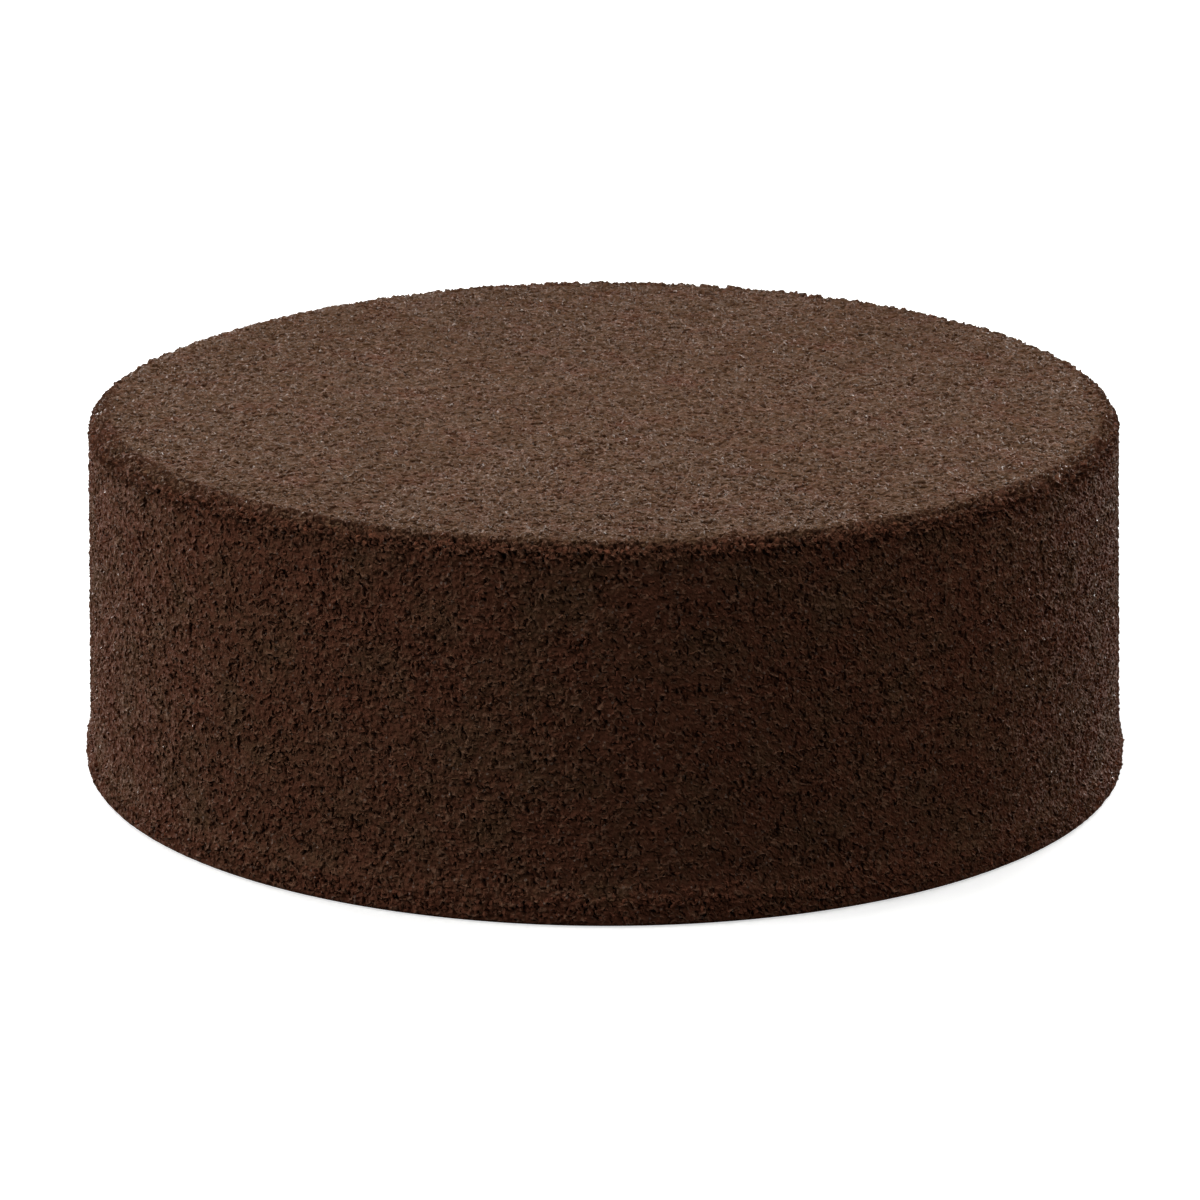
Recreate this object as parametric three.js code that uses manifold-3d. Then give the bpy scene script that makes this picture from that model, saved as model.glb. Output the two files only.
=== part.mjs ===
// A round chocolate mud cake, masked all over in fine cake crumb.
//
// Millimetres, +Z up, the cake's front towards -Y. The origin is the middle of the flat underside.
// The cake is one solid: an uncut round with a level top, a rounded shoulder, a wall that leans out
// slightly on its way down, and a thicker foot where loose crumb has gathered. The crumb coat is
// relief in that solid. Its largest crumbs stand proud of it and are fused on.

import * as THREE from "three";
import { ImprovedNoise } from "three/addons/math/ImprovedNoise.js";
import { mergeVertices } from "three/addons/utils/BufferGeometryUtils.js";
import Module from "manifold-3d";

// ---- Driving sizes -------------------------------------------------------------------------

const height = 84;
const topRadius = 117; // of the wall, carried up to the level of the top
const wallFootRadius = 119.1; // of the wall, where the thicker foot begins
const footRadius = 120; // the widest place, low on the wall
const footHeight = 11; // how far up the wall the gathered crumb reaches
const footUpright = 5; // how far up the foot's own side is upright
const footBend = 2.5; // how far each end of the foot's curve keeps its own direction
const shoulderRadius = 5; // rounding between the top and the wall
const toeRadius = 1.3; // rounding under the foot

// The plan is not a perfect circle: it follows two low waves, which fade out towards the underside.
const ovalShare = 0.006; // of the radius, two waves round the cake
const threeLobeShare = 0.011; // of the radius, three waves round the cake

// Unevenness of the coat: how wide each kind of bump is, and how far it moves the surface.
const swell = { width: 46, depth: 0.45, start: 11.3 }; // left by spreading and patting the crumb
const clump = { width: 11, depth: 0.4, start: 47.9 }; // crumbs that stuck together
const grain = { width: 6, depth: 0.55, start: 83.1 }; // as fine as these faces can hold

// Crumbs that stand proud of the coat: the largest ones.
const crumbsOverCake = 96;
const crumbsOnRim = 54;
const crumbRadius = { least: 0.85, most: 1.4 };
const crumbSunk = 0.35; // of its radius, how deep a crumb's middle lies under the surface
const crumbSquash = 0.22; // how uneven a crumb's three widths are
const rimCrumbDrop = 1.3; // how far under the top a rim crumb's place on the shoulder is
const rimCrumbStray = 0.35; // of the space between two rim crumbs, how far each may stray
const goldenAngle = Math.PI * (3 - Math.sqrt(5));
const drawSeed = 84;

// How fine the faces are.
const geodesicDetail = 16; // each edge of an icosahedron is cut into this many parts, plus one
const profileSteps = 1200; // steps along the profile when its length and area are worked out
const slopeSteps = 3; // steps to each side of a place that its slope is taken over
const roundOff = 1e-6; // mm, less than this is level with the underside
const weldDistance = 1e-4; // corners that are closer than this are one
const undersideShare = 0.05; // of the faces that the flat underside's area would ask for
const roundingShare = 2; // times the faces that the shoulder's or the toe's area would ask for

// ---- The profile, from the middle of the top to the middle of the underside ------------------

// Each point has the radius as x and the height as y.
function cakeProfile() {
  const profile = new THREE.Path();
  profile.moveTo(0, height);
  profile.lineTo(topRadius - shoulderRadius, height);
  profile.absarc(
    topRadius - shoulderRadius,
    height - shoulderRadius,
    shoulderRadius,
    Math.PI / 2,
    0,
    true,
  );
  profile.lineTo(wallFootRadius, footHeight);
  const wallLean = (wallFootRadius - topRadius) / (height - shoulderRadius - footHeight);
  profile.bezierCurveTo(
    wallFootRadius + footBend * wallLean,
    footHeight - footBend,
    footRadius,
    footUpright + footBend,
    footRadius,
    footUpright,
  );
  profile.lineTo(footRadius, toeRadius);
  profile.absarc(footRadius - toeRadius, toeRadius, toeRadius, 0, -Math.PI / 2, true);
  profile.lineTo(0, 0);
  return profile;
}

// ---- A sphere's faces laid over the cake, evenly ---------------------------------------------

// A geodesic sphere has faces of nearly one size. Its angle from the pole is carried to that place
// on the profile that has the same share of the area above it, so the faces stay even on the cake.
// The underside is flat, so it takes few faces, and the two roundings take more than their share.
const profilePoints = cakeProfile().getSpacedPoints(profileSteps);

function faceShare({ x: radius, y: z }) {
  const onUnderside = z < roundOff && radius < footRadius - toeRadius;
  if (onUnderside) return undersideShare;
  const onShoulder = z > height - shoulderRadius && radius > topRadius - shoulderRadius;
  const onToe = z < toeRadius;
  return onShoulder || onToe ? roundingShare : 1;
}

const areaAbove = [0];
for (let i = 1; i <= profileSteps; i++) {
  const from = profilePoints[i - 1];
  const to = profilePoints[i];
  const ringArea = Math.PI * from.distanceTo(to) * (from.x + to.x);
  areaAbove.push(areaAbove[i - 1] + faceShare(to) * ringArea);
}
const wholeArea = areaAbove[profileSteps];

// The place on the profile that has a given area above it, as a count of steps from the start.
function stepAtArea(area) {
  let low = 0;
  let high = profileSteps;
  while (high - low > 1) {
    const middle = (low + high) >> 1;
    if (areaAbove[middle] <= area) low = middle;
    else high = middle;
  }
  const span = areaAbove[high] - areaAbove[low];
  return span > 0 ? low + (area - areaAbove[low]) / span : low;
}

// How far out the plan reaches at this angle and height, as a share of the round one.
function planShare(angle, z) {
  const waves = ovalShare * Math.sin(2 * angle) - threeLobeShare * Math.sin(3 * angle);
  return 1 + (waves * z) / height;
}

// The point of the smooth cake, and its outward normal, for a direction from a sphere's middle.
function onCake(direction) {
  const angle = Math.atan2(direction.y, direction.x);
  const area = (wholeArea * (1 - THREE.MathUtils.clamp(direction.z, -1, 1))) / 2;
  const step = stepAtArea(area);
  const low = Math.min(Math.floor(step), profileSteps - 1);
  const from = profilePoints[low];
  const to = profilePoints[low + 1];
  const radius = THREE.MathUtils.lerp(from.x, to.x, step - low);
  const z = THREE.MathUtils.lerp(from.y, to.y, step - low);
  const before = profilePoints[Math.max(low - slopeSteps, 0)];
  const after = profilePoints[Math.min(low + 1 + slopeSteps, profileSteps)];
  const outwards = new THREE.Vector2(before.y - after.y, after.x - before.x).normalize();
  const reach = radius * planShare(angle, z);
  const point = new THREE.Vector3(reach * Math.cos(angle), reach * Math.sin(angle), z);
  const normal = new THREE.Vector3(
    outwards.x * Math.cos(angle),
    outwards.x * Math.sin(angle),
    outwards.y,
  );
  return { point, normal };
}

// ---- The coat's relief -------------------------------------------------------------------------

const noise = new ImprovedNoise();

// The noise is nought at whole numbers, so each kind of bump starts at a place of its own.
function bumps(point, { width, depth, start }) {
  return depth * noise.noise(point.x / width + start, point.y / width, point.z / width + start);
}

// How far the coat lifts the surface at a point. It dies away at the flat underside.
function relief(point) {
  const lift = [swell, clump, grain].reduce((sum, kind) => sum + bumps(point, kind), 0);
  return lift * THREE.MathUtils.smoothstep(point.z, 0, 2 * toeRadius);
}

function coatedGeometry() {
  const sphere = new THREE.IcosahedronGeometry(1, geodesicDetail);
  sphere.deleteAttribute("normal");
  sphere.deleteAttribute("uv");
  const shell = mergeVertices(sphere, weldDistance);
  const place = shell.getAttribute("position");
  const direction = new THREE.Vector3();
  for (let i = 0; i < place.count; i++) {
    direction.fromBufferAttribute(place, i).normalize();
    const { point, normal } = onCake(direction);
    point.addScaledVector(normal, relief(point));
    place.setXYZ(i, point.x, point.y, Math.max(point.z, 0));
  }
  return shell;
}

// ---- The crumbs that stand proud ---------------------------------------------------------------

const draw = (low, high) => THREE.MathUtils.lerp(low, high, THREE.MathUtils.seededRandom());

// One crumb: an icosahedron with uneven widths, turned at random, and sunk into the coat.
function crumbGeometry(direction, radius) {
  const { point, normal } = onCake(direction);
  const centre = point.clone().addScaledVector(normal, relief(point) - crumbSunk * radius);
  const widths = new THREE.Vector3(
    radius * draw(1 - crumbSquash, 1 + crumbSquash),
    radius * draw(1 - crumbSquash, 1 + crumbSquash),
    radius * draw(1 - crumbSquash, 1),
  );
  const turn = new THREE.Quaternion().setFromEuler(
    new THREE.Euler(draw(0, Math.PI), draw(0, Math.PI), draw(0, Math.PI)),
  );
  const crumb = new THREE.IcosahedronGeometry(1, 0);
  crumb.deleteAttribute("normal");
  crumb.deleteAttribute("uv");
  crumb.applyMatrix4(new THREE.Matrix4().compose(centre, turn, widths));
  return mergeVertices(crumb, weldDistance);
}

// The direction that is carried to a place on the profile, at an angle round the cake.
function directionTo(step, angle) {
  const cosine = 1 - (2 * areaAbove[step]) / wholeArea;
  const sine = Math.sqrt(1 - cosine * cosine);
  return new THREE.Vector3(sine * Math.cos(angle), sine * Math.sin(angle), cosine);
}

// A golden-angle spiral spreads crumbs evenly over the top and the wall, down to where a crumb
// still clears the underside. More of them follow the rim, where the photographed coat is coarsest.
function crumbDirections() {
  const places = [];
  const lowestStep = profilePoints.findIndex(({ y: z }) => z < 2 * crumbRadius.most);
  for (let i = 0; i < crumbsOverCake; i++) {
    const area = (areaAbove[lowestStep] * (i + 0.5)) / crumbsOverCake;
    places.push(directionTo(Math.round(stepAtArea(area)), goldenAngle * i));
  }
  const rimStep = profilePoints.findIndex(({ y: z }) => z < height - rimCrumbDrop);
  for (let i = 0; i < crumbsOnRim; i++) {
    const angle = (2 * Math.PI * (i + draw(-rimCrumbStray, rimCrumbStray))) / crumbsOnRim;
    places.push(directionTo(rimStep, angle));
  }
  return places;
}

// ---- Joining ------------------------------------------------------------------------------------

const wasm = await Module();
wasm.setup();

function solidOf(geometry) {
  return new wasm.Manifold(
    new wasm.Mesh({
      numProp: 3,
      vertProperties: new Float32Array(geometry.getAttribute("position").array),
      triVerts: new Uint32Array(geometry.index.array),
    }),
  );
}

function geometryOf(solid) {
  const mesh = solid.getMesh();
  const geometry = new THREE.BufferGeometry();
  geometry.setAttribute("position", new THREE.BufferAttribute(mesh.vertProperties, 3));
  geometry.setIndex(new THREE.BufferAttribute(mesh.triVerts, 1));
  geometry.computeVertexNormals();
  return geometry;
}

function cakeGeometry() {
  THREE.MathUtils.seededRandom(drawSeed);
  let cake = solidOf(coatedGeometry());
  for (const direction of crumbDirections()) {
    const radius = draw(crumbRadius.least, crumbRadius.most);
    cake = cake.add(solidOf(crumbGeometry(direction, radius)));
  }
  return geometryOf(cake);
}

// ---- The model ----------------------------------------------------------------------------------

const cakeCrumb = new THREE.MeshStandardMaterial({
  color: 0x3f2a20,
  roughness: 0.9,
  metalness: 0,
});

const cake = new THREE.Mesh(cakeGeometry(), cakeCrumb);
cake.name = "cake";

const model = new THREE.Group();
model.add(cake);

export default model;
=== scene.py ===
# %% [markdown]
# # A chocolate mud cake, masked in cake crumb
#
# The cake is a plain uncut round, 24 cm across and 84 mm high. Fine dark cake crumb was pressed over
# its top and side, and that crumb is all the eye sees of it: a sponge-like skin with dark pits and
# thin pale strands, coarser and redder crumbs along the rim and the foot, and loose crumbs that
# cling to it everywhere. Here the skin is a fine mesh with real relief, and Geometry Nodes lay the
# loose crumbs over it.

import math

import bmesh
import bpy
import numpy as np
from mathutils import Matrix, Vector


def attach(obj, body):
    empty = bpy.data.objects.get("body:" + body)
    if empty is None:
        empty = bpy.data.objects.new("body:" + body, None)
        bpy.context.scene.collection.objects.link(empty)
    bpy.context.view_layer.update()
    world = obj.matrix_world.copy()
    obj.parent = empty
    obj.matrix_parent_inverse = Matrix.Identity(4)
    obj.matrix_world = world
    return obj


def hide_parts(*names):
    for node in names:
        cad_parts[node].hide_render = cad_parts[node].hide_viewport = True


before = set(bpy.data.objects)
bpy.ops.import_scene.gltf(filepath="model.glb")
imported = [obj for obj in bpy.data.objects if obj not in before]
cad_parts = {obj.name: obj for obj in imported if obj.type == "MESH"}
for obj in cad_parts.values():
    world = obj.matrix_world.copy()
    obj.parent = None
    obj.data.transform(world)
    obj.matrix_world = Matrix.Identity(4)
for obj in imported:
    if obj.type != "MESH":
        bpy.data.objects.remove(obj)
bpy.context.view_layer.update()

# %% [markdown]
# ## Helpers
#
# Colours are written as the hex values that a paint program shows. Shaders work in linear light, so
# one function turns a hex value into linear numbers. Every node, in a material or in a Geometry
# Nodes tree, is added by one other function, which also sets it up and links it.

# %% Units and colours
MM = 0.001


def linear(hex_colour):
    """An sRGB hex colour, such as "#63412b", as linear RGBA."""
    values = [int(hex_colour[i : i + 2], 16) / 255 for i in (1, 3, 5)]
    return [v / 12.92 if v <= 0.04045 else ((v + 0.055) / 1.055) ** 2.4 for v in values] + [1.0]


print("a mid brown in linear light:", [round(v, 4) for v in linear("#63412b")])


# %% One function that adds a node
def pick(sockets, key):
    """A socket by its number, or the first one in use that has this name."""
    if isinstance(key, int):
        return sockets[key]
    return next(s for s in sockets if s.name == key and s.enabled)


def add(tree, kind, settings=None, inputs=None):
    """Adds a node. An input is a plain value, an output, or a node for its first output in use."""
    node = tree.nodes.new(kind)
    for name, value in (settings or {}).items():
        setattr(node, name, value)
    for key, value in (inputs or {}).items():
        socket = pick(node.inputs, key)
        if isinstance(value, bpy.types.Node):
            value = next(s for s in value.outputs if s.enabled)
        if isinstance(value, bpy.types.NodeSocket):
            tree.links.new(value, socket)
        else:
            socket.default_value = value
    return node


# Settings that many nodes share
TIMES = {"operation": "MULTIPLY"}
TIMES_PLUS = {"operation": "MULTIPLY_ADD"}  # the first input times the second, plus the third
PLUS = {"operation": "ADD"}
MINUS = {"operation": "SUBTRACT"}
LARGER = {"operation": "MAXIMUM"}
SCALED = {"operation": "SCALE"}
SMOOTH = {"interpolation_type": "SMOOTHSTEP"}
VECTORS = {"data_type": "FLOAT_VECTOR"}
COLOURS = {"data_type": "RGBA"}
MORE_THAN = {"operation": "GREATER_THAN"}
LESS_THAN = {"operation": "LESS_THAN"}
MIDDLE = (0.5, 0.5, 0.5)  # of a noise's three numbers
print("node helpers ready")

# %% [markdown]
# ## The camera
#
# The photograph was taken with a long lens from a little above the rim. Its distance, tilt and lens
# were solved from the outlines of the top and the foot, with the cake 240 mm across at its foot.

# %% Camera
CAMERA_PLACE = Vector((0, -1.1841, 0.3963))
CAMERA_PITCH = math.radians(16.919)  # down from level
CAMERA_YAW = math.radians(-0.058)  # to the right
CAMERA_ROLL = math.radians(0.070)
PHOTO_WIDTH = 1200  # px
FOCAL_PIXELS = 5347  # the lens, in the photograph's pixels
SENSOR = 36  # mm

lens = bpy.data.cameras.new("camera")
lens.sensor_width = SENSOR
lens.lens = SENSOR * FOCAL_PIXELS / PHOTO_WIDTH
camera = bpy.data.objects.new("camera", lens)
turn = (
    Matrix.Rotation(-CAMERA_YAW, 4, "Z")
    @ Matrix.Rotation(math.pi / 2 - CAMERA_PITCH, 4, "X")
    @ Matrix.Rotation(CAMERA_ROLL, 4, "Z")
)
camera.matrix_world = Matrix.Translation(CAMERA_PLACE) @ turn
bpy.context.collection.objects.link(camera)
bpy.context.scene.camera = camera
print("lens", round(lens.lens, 1), "mm")

# %% [markdown]
# ## The studio
#
# The photograph has a bright top, with half of its light a grey sheen, and a front that is almost
# dark, with pale left and right edges. So the big lights stand behind the cake, low enough to
# glance off the top and the edges towards the camera. A narrow strip close over the front of the
# top lifts it without touching the wall, and weak side lights keep the crumbs of the wall readable.

# %% Lights
LIGHTS = {
    # name: (place, width and height, watts)
    "left_rear": ((-0.8, 1.3, 0.3), (0.35, 0.9), 18.6),
    "right_rear": ((0.8, 1.3, 0.3), (0.35, 0.9), 19.0),
    "left_edge": ((-1.3, 1.0, 0.25), (0.25, 0.5), 14.6),
    "right_edge": ((1.25, 1.08, 0.25), (0.25, 0.5), 15.5),
    "left_side": ((-1.17, -0.37, 0.5), (0.5, 0.9), 7.4),
    "left_fill": ((-1.1, -0.9, 0.6), (0.8, 0.8), 0.5),
    "right_fill": ((1.1, -0.9, 0.6), (0.8, 0.8), 4.4),
    "strip_over_top": ((0.0, -0.09, 0.42), (0.7, 0.08), 1.12),
}
AIM = Vector((0, 0, 0.045))


def area_light(name, place, size, watts):
    data = bpy.data.lights.new(name, "AREA")
    data.shape = "RECTANGLE"
    data.size, data.size_y = size
    data.energy = watts
    light = bpy.data.objects.new(name, data)
    light.location = place
    light.rotation_euler = (Vector(place) - AIM).to_track_quat("Z", "Y").to_euler()
    light.visible_camera = False
    bpy.context.collection.objects.link(light)


for name, (place, size, watts) in LIGHTS.items():
    area_light(name, place, size, watts)
print(len(LIGHTS), "lights,", round(sum(watts for *_, watts in LIGHTS.values()), 1), "W in all")

# %% [markdown]
# ## The surroundings
#
# The cake is shown on a white sweep, with white behind it. A white world would light the cake from
# every side and flatten it, so only the camera sees that white. The sweep has a faint glow, which
# keeps it pale where little light falls, and it throws no light back at the cake's dark front.

# %% World
WORLD_LIGHT = 0.0  # what reaches the cake from it

world = bpy.data.worlds.new("studio")
bpy.context.scene.world = world
world.use_nodes = True
shade = world.node_tree
shade.nodes.clear()
path = add(shade, "ShaderNodeLightPath").outputs["Is Camera Ray"]
white = linear("#ffffff")
dim = add(shade, "ShaderNodeBackground", inputs={"Color": white, "Strength": WORLD_LIGHT})
bright = add(shade, "ShaderNodeBackground", inputs={"Color": white, "Strength": 1.0})
seen = add(shade, "ShaderNodeMixShader", inputs={0: path, 1: dim, 2: bright})
add(shade, "ShaderNodeOutputWorld", inputs={"Surface": seen})
bpy.context.scene.view_settings.view_transform = "Standard"
print("world ready")

# %% Floor
FLOOR_RADIUS = 6.0
FLOOR_SIDES = 96
FLOOR_GLOW = 0.55

paper = bpy.data.materials.new("white paper sweep")
paper.use_nodes = True
shade = paper.node_tree
shade.nodes.clear()
sheet = add(
    shade,
    "ShaderNodeBsdfPrincipled",
    inputs={
        "Base Color": linear("#f4f4f2"),
        "Roughness": 0.9,
        "Emission Color": linear("#ffffff"),
        "Emission Strength": FLOOR_GLOW,
    },
)
add(shade, "ShaderNodeOutputMaterial", inputs={"Surface": sheet})

floor_mesh = bpy.data.meshes.new("floor")
form = bmesh.new()
bmesh.ops.create_circle(form, cap_ends=True, segments=FLOOR_SIDES, radius=FLOOR_RADIUS)
form.to_mesh(floor_mesh)
form.free()
floor_mesh.materials.append(paper)
floor = bpy.data.objects.new("floor", floor_mesh)
floor.visible_diffuse = False
floor.visible_glossy = False
bpy.context.collection.objects.link(floor)
print("floor", 2 * FLOOR_RADIUS, "m across")

# %% [markdown]
# ## The form under the crumb
#
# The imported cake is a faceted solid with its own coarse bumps. Its fine crumb has to replace those
# bumps, not stand on them, so the skin starts from the same named sizes as the solid: half of the
# side view is turned round the middle. The cake isn't perfectly round either. How far its plan
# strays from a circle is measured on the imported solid, as a sum of a few waves, so the skin
# follows the solid wherever it goes.

# %% Half of the side view
HEIGHT = 84 * MM
TOP_RADIUS = 117 * MM
WALL_FOOT_RADIUS = 119.1 * MM
FOOT_RADIUS = 120 * MM
FOOT_HEIGHT = 11 * MM
SHOULDER = 5 * MM  # rounding between the top and the wall
TOE = 1.3 * MM  # rounding under the foot


def arc(centre, radius, first, last, steps=24):
    """Points on an arc from one angle to another, in degrees."""
    angle = np.radians(np.linspace(first, last, steps))
    return np.column_stack((centre[0] + radius * np.cos(angle), centre[1] + radius * np.sin(angle)))


def ease(start, end, steps=16):
    """Points on a curve that is upright at both ends."""
    share = np.linspace(0, 1, steps)
    smooth = share * share * (3 - 2 * share)
    reach = start[0] + (end[0] - start[0]) * smooth
    level = start[1] + (end[1] - start[1]) * share
    return np.column_stack((reach, level))


outline = np.vstack(
    (
        [(0, HEIGHT)],
        arc((TOP_RADIUS - SHOULDER, HEIGHT - SHOULDER), SHOULDER, 90, 0),
        ease((WALL_FOOT_RADIUS, FOOT_HEIGHT), (FOOT_RADIUS, FOOT_HEIGHT / 2)),
        arc((FOOT_RADIUS - TOE, TOE), TOE, 0, -90),
    )
)
steps_out, steps_up = np.diff(outline, axis=0).T
lengths = np.concatenate(([0], np.cumsum(np.hypot(steps_out, steps_up))))
OUTLINE_LENGTH = lengths[-1]
print("from the middle of the top to the foot:", round(OUTLINE_LENGTH / MM, 1), "mm")

# %% The outline in even steps, and which way is outwards
WALK_STEPS = 4000
EVENING = 21  # steps that the slope is averaged over, so no corner shows

walk = np.linspace(0, OUTLINE_LENGTH, WALK_STEPS)
walk_reach = np.interp(walk, lengths, outline[:, 0])
walk_level = np.interp(walk, lengths, outline[:, 1])
slopes = []
for line in (walk_reach, walk_level):
    padded = np.pad(np.gradient(line), EVENING // 2, "edge")
    slopes.append(np.convolve(padded, np.ones(EVENING) / EVENING, "valid"))
steep = np.hypot(*slopes)
walk_out = -slopes[1] / steep  # of the way outwards, the part away from the middle
walk_up = slopes[0] / steep
print("the wall leans", round(math.degrees(math.asin(walk_up[WALK_STEPS * 3 // 4])), 1), "degrees")

# %% How the plan strays from a circle
WAVES = 6  # round the cake, from one wave to this many
MEASURED_FROM = 15 * MM  # the part of the wall that is measured
MEASURED_TO = HEIGHT - 8 * MM


def plan_terms(angle):
    """A cosine and a sine for each number of waves round the cake, as columns."""
    counts = range(1, WAVES + 1)
    return np.column_stack([wave(count * angle) for count in counts for wave in (np.cos, np.sin)])


cake_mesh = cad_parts["cake"].data
corners = np.empty(len(cake_mesh.vertices) * 3, np.float32)
cake_mesh.vertices.foreach_get("co", corners)
x, y, z = corners.astype(float).reshape(-1, 3).T
on_wall = (z > MEASURED_FROM) & (z < MEASURED_TO)
x, y, z = x[on_wall], y[on_wall], z[on_wall]
round_reach = np.interp(-z, -outline[1:, 1], outline[1:, 0])
strays = (np.hypot(x, y) / round_reach - 1) / (z / HEIGHT)  # the waves fade out downwards
waves = np.linalg.lstsq(plan_terms(np.arctan2(y, x)), strays, rcond=None)[0]
print("largest wave:", round(abs(waves).max() * TOP_RADIUS / MM, 2), "mm")


# %% A place on the smooth cake
def on_cake(along, angle):
    """Points this far along the outline, at this angle, and the ways outwards there."""
    reach = np.interp(along, walk, walk_reach)
    level = np.interp(along, walk, walk_level)
    reach = reach * (1 + plan_terms(angle) @ waves * level / HEIGHT)
    out = np.interp(along, walk, walk_out)
    up = np.interp(along, walk, walk_up)
    points = np.column_stack((reach * np.cos(angle), reach * np.sin(angle), level))
    ways = np.column_stack((out * np.cos(angle), out * np.sin(angle), up))
    return points, ways


places, ways = on_cake(np.array([OUTLINE_LENGTH / 2]), np.array([0.0]))
print("halfway along the outline:", places[0].round(4))

# %% [markdown]
# ## The skin's mesh
#
# Relief needs corners that are closer than the crumbs, here 0.45 mm apart. That is more faces than
# one piece should have, so the skin is made as six slices, each closed by its two cuts and its part
# of the underside. A slice is an even lattice: each row round the top has one more face than the
# row inside it. The corners inside a slice are shifted a little at random, because straight rows
# would show as combed lines in the relief. Those on its edges stay, so the slices meet.

# %% One slice of the skin
GRID = 0.45 * MM
SLICES = 6
SHIFT = 0.3  # of the grid, how far a corner may be moved
rng = np.random.default_rng(24)


def cake_slice(number):
    """A closed slice of the smooth cake, with an attribute that says which way is outwards."""
    rows = round(OUTLINE_LENGTH / GRID)
    columns = np.minimum(np.arange(rows + 1), round(TOP_RADIUS / GRID))
    first = np.concatenate(([0], np.cumsum(columns + 1)))
    row_of = np.repeat(np.arange(rows + 1), columns + 1)
    share = (np.arange(first[-1]) - first[row_of]) / np.maximum(columns[row_of], 1)
    inside = (share > 0) & (share < 1) & (row_of < rows)
    free = inside * SHIFT * GRID
    along = OUTLINE_LENGTH * row_of / rows + rng.uniform(-1, 1, free.shape) * free
    reach = np.maximum(np.interp(along, walk, walk_reach), GRID)
    angle = (number + share) * math.tau / SLICES + rng.uniform(-1, 1, free.shape) * free / reach
    points, ways = on_cake(along, angle)

    faces = []
    for row in range(rows):
        above = first[row] + np.arange(columns[row] + 1)
        below = first[row + 1] + np.arange(columns[row + 1] + 1)
        faces.append(np.column_stack((above[: len(below) - 1], below[:-1], below[1:])))
        faces.append(np.column_stack((above[:-1], below[1 : len(above)], above[1:])))
    middle = len(points)
    points = np.vstack((points, [(0, 0, 0)]))
    ways = np.vstack((ways, [(0, 0, -1)]))
    first_cut = first[:-1].tolist()[::-1] + [middle]
    second_cut = (first[1:] - 1).tolist() + [middle]
    underside = [middle] + list(range(first[rows + 1] - 1, first[rows] - 1, -1))
    mesh = bpy.data.meshes.new("slice")
    mesh.from_pydata(points.tolist(), [], np.vstack(faces).tolist() + [first_cut, second_cut, underside])
    outwards = mesh.attributes.new("outwards", "FLOAT_VECTOR", "POINT")
    outwards.data.foreach_set("vector", ways.ravel())
    return mesh


print(SLICES, "slices with", round(OUTLINE_LENGTH / GRID), "rows each")


# %% Run a tree on a piece
def grow(piece, tree, given):
    """Runs a Geometry Nodes tree on the piece, with these inputs, and keeps the plain mesh."""
    modifier = piece.modifiers.new(tree.name, "NODES")
    modifier.node_group = tree
    for item in tree.interface.items_tree:
        if item.in_out == "INPUT" and item.name in given:
            modifier[item.identifier] = given[item.name]
    bpy.context.view_layer.update()
    graph = bpy.context.evaluated_depsgraph_get()
    piece.data = bpy.data.meshes.new_from_object(piece.evaluated_get(graph))
    piece.modifiers.clear()
    print(piece.name, "has", len(piece.data.polygons), "faces")


# %% [markdown]
# ## The crumb pattern
#
# Pressed crumb reads as small lumps, with three kinds of dark between them: a few round pits, many
# short curved hollows with a thin pale strand along one side, and some longer level clefts.
# Voronoi cells give the lumps and the pits, and pushing their coordinates about with a noise bends
# every straight cell edge. Two neighbouring levels of one noise give the hollows and the strands,
# so they run side by side. The relief and the colour have to agree on where each pit is, so one
# function adds the same nodes to both trees. Its scales are real widths in millimetres.

# %% Lumps: each Voronoi cell is a crumb
CRUMB = 1.0 * MM
GAP = 0.3  # of a crumb, from its edge inwards
WOBBLE = 1.0 * MM  # how wide a bend in an edge is
WOBBLE_PUSH = 1.3 * MM


def bent(tree, where):
    """A place pushed about by a noise, so that straight cell edges bend."""
    look_up = {"Vector": where, "Scale": 1 / WOBBLE, "Detail": 1.0, "Roughness": 0.6}
    wobble = add(tree, "ShaderNodeTexNoise", inputs=look_up)
    centred = add(tree, "ShaderNodeVectorMath", MINUS, {0: wobble.outputs["Color"], 1: MIDDLE})
    push = add(tree, "ShaderNodeVectorMath", SCALED, {0: centred, "Scale": WOBBLE_PUSH})
    return add(tree, "ShaderNodeVectorMath", PLUS, {0: where, 1: push})


def lumps(tree, place):
    """One inside a crumb and nought at its edge, the way from its middle, and its random numbers."""
    look_up = {"Vector": place, "Scale": 1 / CRUMB}
    cell = add(tree, "ShaderNodeTexVoronoi", inputs=look_up)
    edge = add(tree, "ShaderNodeTexVoronoi", {"feature": "DISTANCE_TO_EDGE"}, look_up)
    span = {"Value": edge.outputs["Distance"], "From Max": GAP}
    lump = add(tree, "ShaderNodeMapRange", SMOOTH, span)
    lots = add(tree, "ShaderNodeSeparateXYZ", inputs={0: cell.outputs["Color"]}).outputs
    return lump, cell.outputs["Distance"], lots


print("crumbs", CRUMB / MM, "mm across")

# %% Pits: balls round the points of a wider Voronoi pattern, each with a radius of its own
PIT_SPACING = 4.0 * MM
PIT_LEAST = 0.2 * MM  # radius
PIT_MOST = 0.9 * MM
PIT_WALL = (0.5, 1.2)  # of its radius, where its wall starts and ends


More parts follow.
